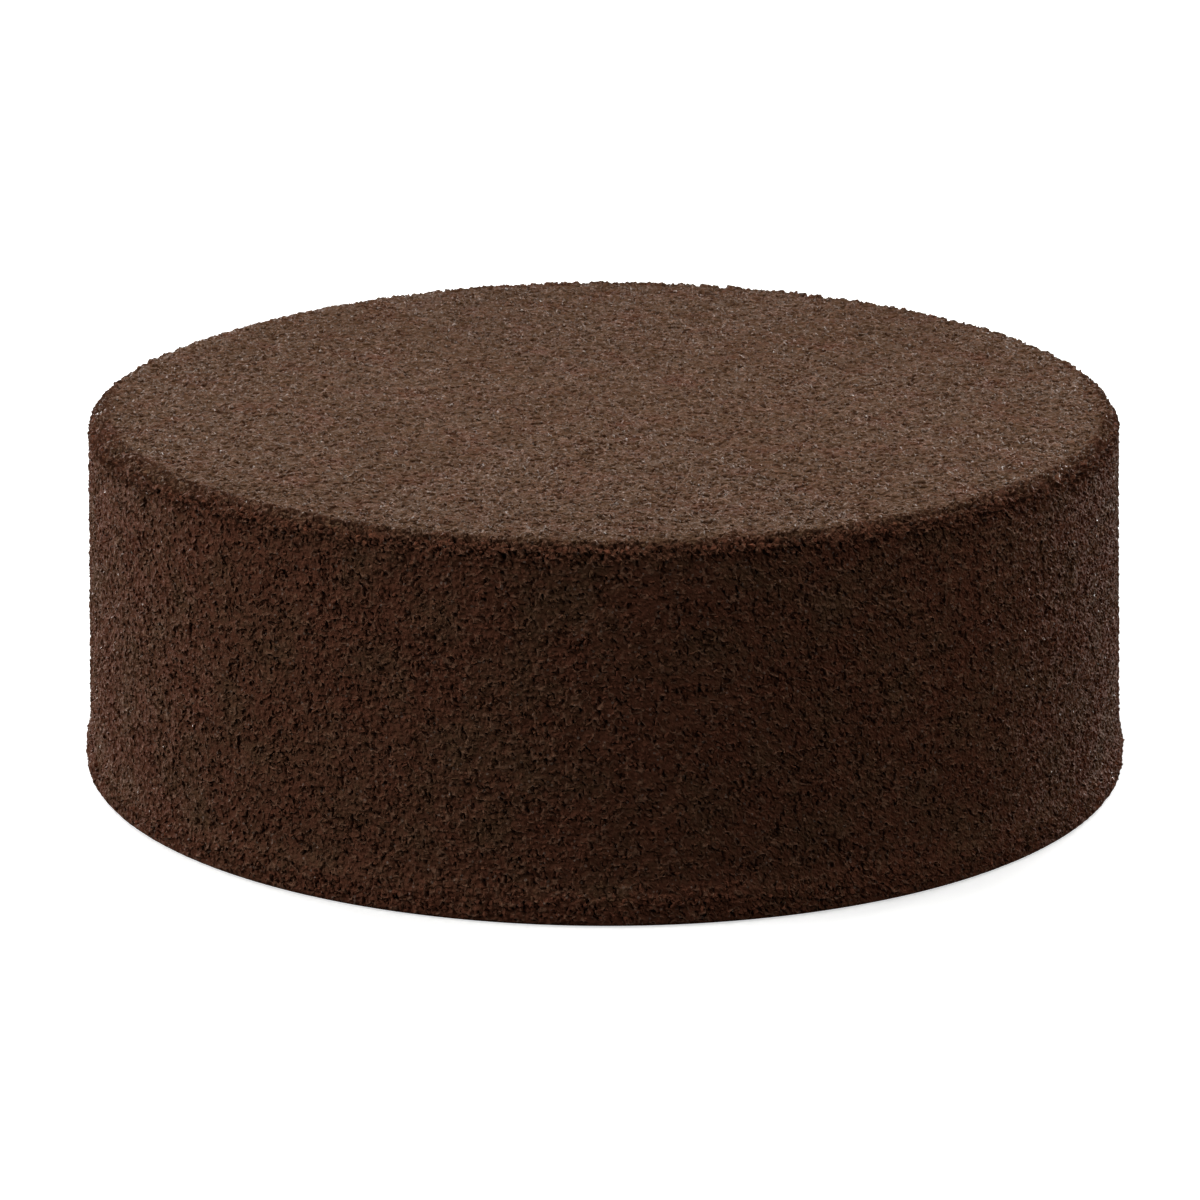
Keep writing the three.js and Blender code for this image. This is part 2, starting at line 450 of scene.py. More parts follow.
def pits(tree, place):
    look_up = {"Vector": place, "Scale": 1 / PIT_SPACING}
    point = add(tree, "ShaderNodeTexVoronoi", inputs=look_up)
    luck = add(tree, "ShaderNodeSeparateXYZ", inputs={0: point.outputs["Color"]}).outputs["X"]
    sizes = {"Value": luck, "To Min": PIT_LEAST / PIT_SPACING, "To Max": PIT_MOST / PIT_SPACING}
    radius = add(tree, "ShaderNodeMapRange", inputs=sizes)
    ratio = {0: point.outputs["Distance"], 1: radius}
    ratio = add(tree, "ShaderNodeMath", {"operation": "DIVIDE"}, ratio)
    start, end = PIT_WALL
    span = {"Value": ratio, "From Min": start, "From Max": end, "To Min": 1.0, "To Max": 0.0}
    return add(tree, "ShaderNodeMapRange", SMOOTH, span)


print("pits up to", 2 * PIT_MOST / MM, "mm across")

# %% Hollows and strands: two levels of one noise, broken up by another
WEAVE = 1.6 * MM  # how wide the noise of the hollows and strands is
BREAKS = 1.4 * MM  # how long they run before they break off
BREAK_SPAN = (0.42, 0.55)  # levels of the breaking noise, from broken to whole
HOLLOW = (0.36, 0.03, 0.09)  # its level in that noise, how far it is whole, and where it ends
STRAND = (0.48, 0.02, 0.08)
HOLLOW_SHARE = 0.7  # of the depth of a pit


def weave(tree, where):
    """A hollow and the strand that runs along it."""
    look_up = {"Vector": where, "Scale": 1 / WEAVE, "Detail": 0.5}
    levels = add(tree, "ShaderNodeTexNoise", inputs=look_up).outputs["Fac"]
    look_up = {"Vector": where, "Scale": 1 / BREAKS, "Detail": 0.0}
    breaks = add(tree, "ShaderNodeTexNoise", inputs=look_up).outputs["Fac"]
    span = {"Value": breaks, "From Min": BREAK_SPAN[0], "From Max": BREAK_SPAN[1]}
    whole = add(tree, "ShaderNodeMapRange", SMOOTH, span)
    lines = []
    for level, solid, end in (HOLLOW, STRAND):
        off = add(tree, "ShaderNodeMath", MINUS, {0: levels, 1: level})
        off = add(tree, "ShaderNodeMath", {"operation": "ABSOLUTE"}, {0: off})
        span = {"Value": off, "From Min": solid, "From Max": end, "To Min": 1.0, "To Max": 0.0}
        line = add(tree, "ShaderNodeMapRange", SMOOTH, span)
        lines.append(add(tree, "ShaderNodeMath", TIMES, {0: line, 1: whole}))
    hollow, strand = lines
    return add(tree, "ShaderNodeMath", TIMES, {0: hollow, 1: HOLLOW_SHARE}), strand


print("hollows and strands run for about", BREAKS / MM, "mm")

# %% Clefts: a noise that is stretched level, so its rare high places are long and low
CLEFT_LENGTH = 4.5 * MM
CLEFT_HEIGHT = 1.4 * MM
CLEFT_SPAN = (0.63, 0.72)  # levels of that noise, from a cleft's edge to its bottom
CLEFT_SHARE = 0.7  # of the depth of a pit


def clefts(tree, where):
    stretch = (1 / CLEFT_LENGTH, 1 / CLEFT_LENGTH, 1 / CLEFT_HEIGHT)
    level = add(tree, "ShaderNodeVectorMath", TIMES, {0: where, 1: stretch})
    look_up = {"Vector": level, "Scale": 1.0, "Detail": 2.0}
    ledges = add(tree, "ShaderNodeTexNoise", inputs=look_up).outputs["Fac"]
    edge, bottom = CLEFT_SPAN
    span = {"Value": ledges, "From Min": edge, "From Max": bottom, "To Max": CLEFT_SHARE}
    return add(tree, "ShaderNodeMapRange", SMOOTH, span)


print("clefts", CLEFT_LENGTH / MM, "mm long and", CLEFT_HEIGHT / MM, "mm high")

# %% Bands: the flat top, the rim where it meets the wall, and the foot
RIM_WIDTH = 3 * MM  # of the band of coarser crumb
FOOT_BAND = 9 * MM
TOP_SPAN = (HEIGHT - 2 * MM, HEIGHT - 0.8 * MM)  # heights where the wall's look turns into the top's


def on_top(tree, where):
    """One on the flat top, nought on the wall."""
    level = add(tree, "ShaderNodeSeparateXYZ", inputs={0: where}).outputs["Z"]
    span = {"Value": level, "From Min": TOP_SPAN[0], "From Max": TOP_SPAN[1]}
    return add(tree, "ShaderNodeMapRange", SMOOTH, span)


def rim_and_foot(tree, where):
    """Each is one in its band and nought outside it."""
    axes = add(tree, "ShaderNodeSeparateXYZ", inputs={0: where}).outputs
    plan = add(tree, "ShaderNodeCombineXYZ", inputs={0: axes["X"], 1: axes["Y"]})
    reach = add(tree, "ShaderNodeVectorMath", {"operation": "LENGTH"}, {0: plan})
    level = axes["Z"]
    span = {"Value": level, "From Min": HEIGHT - 2 * RIM_WIDTH, "From Max": HEIGHT - RIM_WIDTH}
    high = add(tree, "ShaderNodeMapRange", SMOOTH, span)
    span = {"Value": reach, "From Min": TOP_RADIUS - SHOULDER, "From Max": TOP_RADIUS - RIM_WIDTH}
    far = add(tree, "ShaderNodeMapRange", SMOOTH, span)
    rim = add(tree, "ShaderNodeMath", TIMES, {0: high, 1: far})
    low, end = FOOT_BAND / 3, FOOT_BAND
    span = {"Value": level, "From Min": low, "From Max": end, "To Min": 1.0, "To Max": 0.0}
    return rim, add(tree, "ShaderNodeMapRange", SMOOTH, span)


print("rim band", RIM_WIDTH / MM, "mm, foot band", FOOT_BAND / MM, "mm")


# %% All of it, for either tree
def crumb_pattern(tree, where):
    """Adds the pattern's nodes. What it gives runs from nought to one, apart from from_middle."""
    place = bent(tree, where)
    lump, from_middle, lots = lumps(tree, place)
    hollow, strand = weave(tree, where)
    hole = add(tree, "ShaderNodeMath", LARGER, {0: pits(tree, place), 1: hollow})
    hole = add(tree, "ShaderNodeMath", LARGER, {0: hole, 1: clefts(tree, where)})
    rim, foot = rim_and_foot(tree, where)
    return {
        "lump": lump,
        "gap": add(tree, "ShaderNodeMath", MINUS, {0: 1.0, 1: lump}),
        "from_middle": from_middle,
        "lots": lots,
        "hole": hole,
        "hollow": hollow,
        "strand": strand,
        "rim": rim,
        "foot": foot,
    }


print("pattern ready for both trees")

# %% [markdown]
# ## The relief
#
# Bump shading alone leaves a smooth silhouette and no shadows, and this cake is lit from behind, so
# the relief is real. A Geometry Nodes tree moves each corner of the skin along its own way
# outwards, by heights that are its named inputs. It first stores where the corner was, so the
# material can read the same pattern.

# %% Height of the crumb
RELIEF_SIZES = {
    "Lump Height": 0.18 * MM,
    "Step Height": 0.2 * MM,  # between a low crumb and a high one
    "Edge Step": 1.1 * MM,  # the same along the rim and the foot, where crumbs are coarser
    "Hole Depth": 0.6 * MM,
    "Strand Height": 0.2 * MM,
    "Clump Height": 0.9 * MM,
    "Sink": 0.4 * MM,  # of the whole skin, so its high crumbs reach the solid's surface
    "Still": 2 * MM,  # over the underside, the relief fades out in this height
}
EDGE_LEVEL = 0.3  # of an edge step, what stays level with the rest
FOOT_SHARE = 0.6  # of the rim's coarseness, what the foot has
CLUMP_WIDTH = 4.5 * MM


def relief_height(tree, where, given):
    """How far outwards the crumb stands at a place, in metres."""
    pattern = crumb_pattern(tree, where)
    height_lot = pattern["lots"]["X"]
    lift = add(tree, "ShaderNodeMath", TIMES, {0: given["Sink"], 1: -1.0})
    lump = {0: pattern["lump"], 1: given["Lump Height"], 2: lift}
    lift = add(tree, "ShaderNodeMath", TIMES_PLUS, lump)
    step = {0: height_lot, 1: given["Step Height"], 2: lift}
    lift = add(tree, "ShaderNodeMath", TIMES_PLUS, step)
    foot = add(tree, "ShaderNodeMath", TIMES, {0: pattern["foot"], 1: FOOT_SHARE})
    band = add(tree, "ShaderNodeMath", LARGER, {0: pattern["rim"], 1: foot})
    coarse = add(tree, "ShaderNodeMath", MINUS, {0: height_lot, 1: EDGE_LEVEL})
    coarse = add(tree, "ShaderNodeMath", TIMES, {0: coarse, 1: given["Edge Step"]})
    lift = add(tree, "ShaderNodeMath", TIMES_PLUS, {0: band, 1: coarse, 2: lift})
    down = add(tree, "ShaderNodeMath", TIMES, {0: given["Hole Depth"], 1: -1.0})
    for name, height in (("hole", down), ("strand", given["Strand Height"])):
        lift = add(tree, "ShaderNodeMath", TIMES_PLUS, {0: pattern[name], 1: height, 2: lift})
    look_up = {"Vector": where, "Scale": 1 / CLUMP_WIDTH, "Detail": 1.0}
    clumps = add(tree, "ShaderNodeTexNoise", inputs=look_up).outputs["Fac"]
    uneven = add(tree, "ShaderNodeMath", MINUS, {0: clumps, 1: MIDDLE[0]})
    clump = {0: uneven, 1: given["Clump Height"], 2: lift}
    lift = add(tree, "ShaderNodeMath", TIMES_PLUS, clump)
    level = add(tree, "ShaderNodeSeparateXYZ", inputs={0: where}).outputs["Z"]
    free = {"Value": level, "From Max": given["Still"]}
    free = add(tree, "ShaderNodeMapRange", SMOOTH, free)
    return add(tree, "ShaderNodeMath", TIMES, {0: lift, 1: free})


print("relief sizes in mm:", {name: round(size / MM, 2) for name, size in RELIEF_SIZES.items()})


# %% Relief tree
def relief_tree():
    tree = bpy.data.node_groups.new("crumb relief", "GeometryNodeTree")
    kinds = {"Geometry": "Geometry", "Material": "Material"} | dict.fromkeys(RELIEF_SIZES, "Float")
    for name, kind in kinds.items():
        tree.interface.new_socket(name, in_out="INPUT", socket_type="NodeSocket" + kind)
    tree.interface.new_socket("Geometry", in_out="OUTPUT", socket_type="NodeSocketGeometry")
    given = add(tree, "NodeGroupInput").outputs
    where = add(tree, "GeometryNodeInputPosition")
    outwards = add(tree, "GeometryNodeInputNamedAttribute", VECTORS, {"Name": "outwards"})
    kept = {"Geometry": given["Geometry"], "Name": "skin", "Value": where}
    kept = add(tree, "GeometryNodeStoreNamedAttribute", VECTORS, kept)
    lift = relief_height(tree, where, given)
    offset = add(tree, "ShaderNodeVectorMath", SCALED, {0: outwards, "Scale": lift})
    moved = add(tree, "GeometryNodeSetPosition", inputs={"Geometry": kept, "Offset": offset})
    real = add(tree, "GeometryNodeRealizeInstances", inputs={"Geometry": moved})
    done = {"Geometry": real, "Material": given["Material"]}
    done = add(tree, "GeometryNodeSetMaterial", inputs=done)
    add(tree, "NodeGroupOutput", inputs={0: done})
    print("relief tree has", len(tree.nodes), "nodes")
    return tree


crumb_relief = relief_tree()

# %% [markdown]
# ## The crumb's look
#
# Mud cake is baked cocoa, butter and sugar: dull and dark brown, greyer where its crumb is dry and
# rubbed, redder where it is freshly broken. It is never one brown, so patches a centimetre wide
# and single crumbs both lean from one colour to the other. A few facets are moist with butter: they
# are shinier, and their pale specks are a painted glint in the colour. The skin and the loose
# crumbs are one food, so one function mixes the two browns for both.

# %% The two browns of baked crumb
GREY_BROWN = "#60442e"  # dry, rubbed crumb
RED_BROWN = "#673c29"  # freshly broken crumb
PATCH = 12 * MM
PATCH_PUSH = 1.1  # how far a patch, a crumb's own lot and being on the top push towards red
LOT_PUSH = 0.2
TOP_PUSH = -0.3
RED_SPAN = (0.3, 0.9)  # pushes, from all grey-brown to all red-brown


def crumb_brown(shade, where, lot, extra):
    """Grey or red: patches, single crumbs and this extra push, and greyer on the top."""
    look_up = {"Vector": where, "Scale": 1 / PATCH, "Detail": 2.0}
    patch = add(shade, "ShaderNodeTexNoise", inputs=look_up).outputs["Fac"]
    push = add(shade, "ShaderNodeMath", TIMES_PLUS, {0: patch, 1: PATCH_PUSH, 2: extra})
    push = add(shade, "ShaderNodeMath", TIMES_PLUS, {0: lot, 1: LOT_PUSH, 2: push})
    top = on_top(shade, where)
    push = add(shade, "ShaderNodeMath", TIMES_PLUS, {0: top, 1: TOP_PUSH, 2: push})
    red = {"Value": push, "From Min": RED_SPAN[0], "From Max": RED_SPAN[1]}
    red = add(shade, "ShaderNodeMapRange", SMOOTH, red)
    tone = {"Factor": red, "A": linear(GREY_BROWN), "B": linear(RED_BROWN)}
    tone = add(shade, "ShaderNodeMix", COLOURS, tone)
    return pick(tone.outputs, "Result")


print("patches", PATCH / MM, "mm wide")

# %% [markdown]
# ## The crumb's sheen
#
# The butter in mud cake leaves a soft sheen where crumb was pressed flat, which is on the top. The
# wall is duller, a moist facet is shinier, and the inside of a hollow has no sheen at all. With one
# roughness for everything the top would be as dull as the wall, so the roughness follows the same
# pattern as the relief, and only the specular level is one number.

# %% The sheen of baked crumb
# A moist facet is shinier, and its pale speck is a painted glint: its colour is lightened towards this
# brown.
PAINTED_GLINT_BROWN = "#8f7d70"  # a moist facet
SPECK = 0.8 * MM
SPECK_RADIUS = 0.4  # of that
GLINT_PAINT_SHARE = 0.4  # of the pale colour, the rest is the crumb's own
TOP_ROUGHNESS = 0.56  # pressed flat, so its butter leaves a soft sheen at a glancing angle
WALL_ROUGHNESS = 0.8
MOIST_ROUGHNESS = 0.3
HOLLOW_DARK = 0.6  # how deep a hollow has to be to have no sheen at all
TOP_BUMP = 0.8  # of the bump on the wall
BAKED_IOR = 1.45  # fats and sugars
BAKED_SPECULAR = 0.2  # an open crumb reflects less than a closed surface


def moist_glint_spots(shade, where, specks):
    """One on this share of small round spots, nought elsewhere: moist facets, shinier and with a painted
    glint.
    """
    look_up = {"Vector": where, "Scale": 1 / SPECK}
    bits = add(shade, "ShaderNodeTexVoronoi", inputs=look_up)
    draw = add(shade, "ShaderNodeSeparateXYZ", inputs={0: bits.outputs["Color"]}).outputs["X"]
    chosen = add(shade, "ShaderNodeMath", MORE_THAN, {0: draw, 1: 1 - specks})
    near = add(shade, "ShaderNodeMath", LESS_THAN, {0: bits.outputs["Distance"], 1: SPECK_RADIUS})
    return add(shade, "ShaderNodeMath", TIMES, {0: chosen, 1: near})


def crumb_roughness(shade, top, moist, hollow):
    """Softer on the top, shiny on a moist facet, and quite dull inside a hollow."""
    dry = {"Value": top, "To Min": WALL_ROUGHNESS, "To Max": TOP_ROUGHNESS}
    dry = add(shade, "ShaderNodeMapRange", inputs=dry)
    rough = {"Value": moist, "To Min": dry, "To Max": MOIST_ROUGHNESS}
    rough = add(shade, "ShaderNodeMapRange", inputs=rough)
    rough = {"Value": hollow, "From Max": HOLLOW_DARK, "To Min": rough, "To Max": 1.0}
    return add(shade, "ShaderNodeMapRange", inputs=rough)


def finish(shade, where, colour, height, depth, specks, hollow=0.0):
    """Ends a crumb material: its pale specks, a painted glint on shinier moist facets, its bump, and its
    shader.
    """
    moist = moist_glint_spots(shade, where, specks)
    part = add(shade, "ShaderNodeMath", TIMES, {0: moist, 1: GLINT_PAINT_SHARE})
    glint_painted_colour = {"Factor": part, "A": colour, "B": linear(PAINTED_GLINT_BROWN)}
    glint_painted_colour = add(shade, "ShaderNodeMix", COLOURS, glint_painted_colour)
    top = on_top(shade, where)
    firm = {"Value": top, "To Min": 1.0, "To Max": TOP_BUMP}
    firm = add(shade, "ShaderNodeMapRange", inputs=firm)
    bump = {"Strength": firm, "Distance": depth, "Height": height}
    bump = add(shade, "ShaderNodeBump", inputs=bump)
    crumb = add(
        shade,
        "ShaderNodeBsdfPrincipled",
        inputs={
            "Base Color": pick(glint_painted_colour.outputs, "Result"),
            "Roughness": crumb_roughness(shade, top, moist, hollow),
            "IOR": BAKED_IOR,
            "Specular IOR Level": BAKED_SPECULAR,
            "Normal": bump,
        },
    )
    add(shade, "ShaderNodeOutputMaterial", inputs={"Surface": crumb})


print("specks", SPECK * SPECK_RADIUS * 2 / MM, "mm across")

# %% [markdown]
# ## The skin's finish
#
# The skin is cake crumb that was pressed on by hand. It could be painted as an image, but an image
# has a seam on a round, and its pits wouldn't meet the relief. A procedural colour reads the place
# that the relief stored, so each pit in the mesh gets painted shade in its colour and each strand a
# painted highlight.

# %% Colour of the skin
# The strands' paler brown is a painted highlight on ridges that also stand as real relief.
PAINTED_STRAND_HIGHLIGHT = "#86634d"  # the thin ridges
# Holes are darkened towards this brown as painted shade, over their real relief.
PAINTED_PIT_SHADE = "#3d2416"  # inside a pit
STRAND_HIGHLIGHT_SHARE = 0.6
# The next two set painted shade: how far holes, and the gaps between crumbs, are darkened.
HOLE_SHADE_SHARE = (0.72, 1.0)  # how much deep brown a hole has on the wall, and on the top
GAP_SHADE_SHARE = (0.15, 0.7)  # how much a gap has anywhere, and what the rim adds
BAND_PUSH = 0.15  # redder along the rim and the foot
GAP_PUSH = 0.1
CRUMB_LIGHT = (0.9, 1.1)  # from the darkest crumb to the lightest


def painted_shade_share(shade, where, pattern):
    """How much painted shade there is: in holes, and in the gaps between the coarse rim crumbs."""
    share = {"Value": on_top(shade, where), "To Min": HOLE_SHADE_SHARE[0], "To Max": HOLE_SHADE_SHARE[1]}
    share = add(shade, "ShaderNodeMapRange", inputs=share)
    deep = add(shade, "ShaderNodeMath", TIMES, {0: pattern["hole"], 1: share})
    anywhere, at_rim = GAP_SHADE_SHARE
    gap_shade = {0: pattern["rim"], 1: at_rim, 2: anywhere}
    gap_shade = add(shade, "ShaderNodeMath", TIMES_PLUS, gap_shade)
    gap_shade = add(shade, "ShaderNodeMath", TIMES, {0: gap_shade, 1: pattern["gap"]})
    return add(shade, "ShaderNodeMath", LARGER, {0: deep, 1: gap_shade})


def skin_colour(shade, where, pattern, deep):
    """Each crumb a little lighter or darker, strands lighter as painted highlight, holes darker as
    painted shade.
    """
    band = add(shade, "ShaderNodeMath", LARGER, {0: pattern["rim"], 1: pattern["foot"]})
    extra = add(shade, "ShaderNodeMath", TIMES, {0: band, 1: BAND_PUSH})
    extra = add(shade, "ShaderNodeMath", TIMES_PLUS, {0: pattern["gap"], 1: GAP_PUSH, 2: extra})
    tone = crumb_brown(shade, where, pattern["lots"]["Y"], extra)
    darkest, lightest = CRUMB_LIGHT
    light = {"Value": pattern["lots"]["Z"], "To Min": darkest, "To Max": lightest}
    light = add(shade, "ShaderNodeMapRange", inputs=light)
    colour = add(shade, "ShaderNodeVectorMath", SCALED, {0: tone, "Scale": light})
    strand = add(shade, "ShaderNodeMath", TIMES, {0: pattern["strand"], 1: STRAND_HIGHLIGHT_SHARE})
    colour = {"Factor": strand, "A": colour, "B": linear(PAINTED_STRAND_HIGHLIGHT)}
    colour = pick(add(shade, "ShaderNodeMix", COLOURS, colour).outputs, "Result")
    colour = {"Factor": deep, "A": colour, "B": linear(PAINTED_PIT_SHADE)}
    return pick(add(shade, "ShaderNodeMix", COLOURS, colour).outputs, "Result")


print("deep brown in linear light:", [round(v, 4) for v in linear(PAINTED_PIT_SHADE)])

# %% Material of the skin
GRIT = 0.7 * MM  # finer in the real crumb, drawn this coarse so that it shows
SKIN_BUMP = 0.4 * MM  # depth of what follows
GRIT_BUMP = 0.7
BALL_BUMP = -0.5  # each crumb falls away from its middle
HOLLOW_BUMP = -0.9
STRAND_BUMP = 0.4
SKIN_SPECKS = 0.06


def grit(shade, where):
    look_up = {"Vector": where, "Scale": 1 / GRIT, "Detail": 2.0, "Roughness": 0.6}
    return add(shade, "ShaderNodeTexNoise", inputs=look_up).outputs["Fac"]


def crumb_material(name):
    """An empty node material."""
    material = bpy.data.materials.new(name)
    material.use_nodes = True
    material.node_tree.nodes.clear()
    return material


def skin_material():
    """Pressed chocolate cake crumb: dull brown, with painted shade in its pits and a painted highlight
    on its thin strands.
    """
    material = crumb_material("pressed chocolate cake crumb")
    shade = material.node_tree
    where = add(shade, "ShaderNodeAttribute", {"attribute_name": "skin"}).outputs["Vector"]
    pattern = crumb_pattern(shade, where)
    # deep is the share of painted shade in holes and gaps; it also makes the hollows rough.
    deep = painted_shade_share(shade, where, pattern)
    colour = skin_colour(shade, where, pattern, deep)

    # Bump: what is as fine as the mesh or finer. Lumps and pits are relief already.
    height = add(shade, "ShaderNodeMath", TIMES, {0: grit(shade, where), 1: GRIT_BUMP})
    bumps = {"from_middle": BALL_BUMP, "hollow": HOLLOW_BUMP, "strand": STRAND_BUMP}
    for part, rise in bumps.items():
        height = add(shade, "ShaderNodeMath", TIMES_PLUS, {0: pattern[part], 1: rise, 2: height})
    finish(shade, where, colour, height, SKIN_BUMP, SKIN_SPECKS, deep)
    print(material.name, "has", len(shade.nodes), "nodes")
    return material


skin_crumb = skin_material()

# %% Make the slices
slices = []
for number in range(SLICES):
    piece = bpy.data.objects.new(f"cake_slice_{number + 1}", cake_slice(number))
    bpy.context.collection.objects.link(piece)
    grow(piece, crumb_relief, {"Material": skin_crumb} | RELIEF_SIZES)
    slices.append(piece)

# %% [markdown]
# ## Loose crumbs
#
# Over the pressed skin lie single crumbs. Rubbing cake through a sieve gives uneven lumps, and some
# threads. A lump is the hull of eight points near a ball, so it has only twelve faces and can be
# repeated by the thousand. Each kind is laid by Geometry Nodes: points with a least distance
# between them, a lump on each, turned and sized at random, then all corners are pushed about by a
# noise, so no two lumps keep the same shape.


# %% One crumb of each kind
LUMP_CORNERS = 8
LUMP_SPREAD = 0.25  # of its radius, how far a corner may be off the ball
GOLDEN_ANGLE = math.pi * (3 - math.sqrt(5))


def crumb_lump(name):
    """A lump about one unit across: the hull of points scattered near a ball."""
    form = bmesh.new()
    for i in range(LUMP_CORNERS):
        z = 1 - 2 * (i + 0.5) / LUMP_CORNERS
        ring = math.sqrt(1 - z * z)
        angle = GOLDEN_ANGLE * i
        point = Vector((ring * math.cos(angle), ring * math.sin(angle), z))
        form.verts.new(point * rng.uniform(1 - LUMP_SPREAD, 1 + LUMP_SPREAD) / 2)
    bmesh.ops.convex_hull(form, input=form.verts)
    mesh = bpy.data.meshes.new(name)
    form.to_mesh(mesh)
    form.free()
    return bpy.data.objects.new(name, mesh)


print("a lump has", 2 * LUMP_CORNERS - 4, "faces")

# %% The bed that the crumbs are laid on
BED_ROWS = 150
BED_COLUMNS = 300


def crumb_bed():
    """The smooth cake's top and side as one coarse mesh."""
    along = np.repeat(np.linspace(0, OUTLINE_LENGTH, BED_ROWS + 1), BED_COLUMNS)
    angle = np.tile(np.arange(BED_COLUMNS) * math.tau / BED_COLUMNS, BED_ROWS + 1)
    points, _ = on_cake(along, angle)
    row = np.arange(BED_ROWS)[:, None] * BED_COLUMNS
    here = row + np.arange(BED_COLUMNS)
    after = row + (np.arange(BED_COLUMNS) + 1) % BED_COLUMNS
    faces = np.stack((here, here + BED_COLUMNS, after + BED_COLUMNS, after), axis=-1)
    mesh = bpy.data.meshes.new("bed")
    mesh.from_pydata(points.tolist(), [], faces.reshape(-1, 4).tolist())
    return mesh


bed = crumb_bed()
print("bed has", len(bed.polygons), "faces")

# %% [markdown]
# ## Laying one kind of crumb
#
# Sieved crumb falls at random, but two crumbs never share one place. Each crumb could be a separate
# object, but a tree that scatters instances over the bed is one recipe for all kinds: the inputs
# give the region, the spacing, the size and the proportions. Threads lie flat where they fell, and
# other crumbs are turned any way. The tree ends in real mesh, because instances aren't exported.

# %% Points on the bed
COAT_INPUTS = {
    "Geometry": "Geometry",
    "Spacing": "Float",
    "Seed": "Int",
    "Lowest": "Float",
    "Highest": "Float",
    "Innermost": "Float",
    "Crumb": "Object",
    "Width": "Float",
    "Proportions": "Vector",
    "Tilt": "Float",
    "Unevenness": "Float",
    "Stray": "Float",
    "Sunk": "Float",
    "Material": "Material",
}
TRIES = 5.0  # points that are tried for each one that fits


def points_on_bed(tree, given):
    """Scattered points in this kind's region, sunk by its depth, and how each is turned."""
    squared = add(tree, "ShaderNodeMath", TIMES, {0: given["Spacing"], 1: given["Spacing"]})
    tries = add(tree, "ShaderNodeMath", {"operation": "DIVIDE"}, {0: TRIES, 1: squared})
    points = add(
        tree,
        "GeometryNodeDistributePointsOnFaces",
        {"distribute_method": "POISSON"},
        {
            "Mesh": given["Geometry"],
            "Distance Min": given["Spacing"],
            "Density Max": tries,
            "Seed": given["Seed"],
        },
    ).outputs
    both = {"operation": "AND"}
    axes = add(tree, "ShaderNodeSeparateXYZ", inputs={0: add(tree, "GeometryNodeInputPosition")})
    axes = axes.outputs
    plan = add(tree, "ShaderNodeCombineXYZ", inputs={0: axes["X"], 1: axes["Y"]})
    reach = add(tree, "ShaderNodeVectorMath", {"operation": "LENGTH"}, {0: plan})
    above = add(tree, "FunctionNodeCompare", MORE_THAN, {"A": axes["Z"], "B": given["Lowest"]})
    below = add(tree, "FunctionNodeCompare", LESS_THAN, {"A": axes["Z"], "B": given["Highest"]})
    outer = add(tree, "FunctionNodeCompare", MORE_THAN, {"A": reach, "B": given["Innermost"]})
    wanted = add(tree, "FunctionNodeBooleanMath", both, {0: above, 1: below})
    wanted = add(tree, "FunctionNodeBooleanMath", both, {0: wanted, 1: outer})
    left_out = add(tree, "FunctionNodeBooleanMath", {"operation": "NOT"}, {0: wanted})
    kept = {"Geometry": points["Points"], "Selection": left_out}
    kept = add(tree, "GeometryNodeDeleteGeometry", {"domain": "POINT"}, kept)
    inwards = add(tree, "ShaderNodeMath", TIMES, {0: given["Sunk"], 1: -1.0})
    sink = add(tree, "ShaderNodeVectorMath", SCALED, {0: points["Normal"], "Scale": inwards})
    kept = add(tree, "GeometryNodeSetPosition", inputs={"Geometry": kept, "Offset": sink})
    return kept, points["Rotation"]


print("tries for each point:", TRIES)

# %% How each crumb is turned and sized
TURN_SEED = 21
SIZE_SEED = 31
CHANCE_SEED = 41


def random_turn(tree, flat, tilt):
    """Any way round the surface's normal, and no further off the surface than this tilt."""
    back = add(tree, "ShaderNodeMath", TIMES, {0: tilt, 1: -1.0})
    least = add(tree, "ShaderNodeCombineXYZ", inputs={0: back, 1: back, 2: 0.0})
    most = add(tree, "ShaderNodeCombineXYZ", inputs={0: tilt, 1: tilt, 2: math.tau})
    swing = {"Min": least, "Max": most, "Seed": TURN_SEED}
    swing = add(tree, "FunctionNodeRandomValue", VECTORS, swing)
    local = {"rotation_space": "LOCAL"}
    return add(tree, "FunctionNodeRotateRotation", local, {"Rotation": flat, "Rotate By": swing})


def random_scale(tree, given):
    """This kind's proportions, at a random size round its own width."""
    least = add(tree, "ShaderNodeMath", MINUS, {0: 1.0, 1: given["Unevenness"]})
    most = add(tree, "ShaderNodeMath", PLUS, {0: 1.0, 1: given["Unevenness"]})
    size = {"Min": least, "Max": most, "Seed": SIZE_SEED}
    size = add(tree, "FunctionNodeRandomValue", {"data_type": "FLOAT"}, size)
    width = add(tree, "ShaderNodeMath", TIMES, {0: size, 1: given["Width"]})
    return add(tree, "ShaderNodeVectorMath", SCALED, {0: given["Proportions"], "Scale": width})


print("seeds:", TURN_SEED, SIZE_SEED, CHANCE_SEED)

# %% The tree that lays one kind of crumb
BEND = 1.1 * MM  # how wide the noise is that pushes the corners about


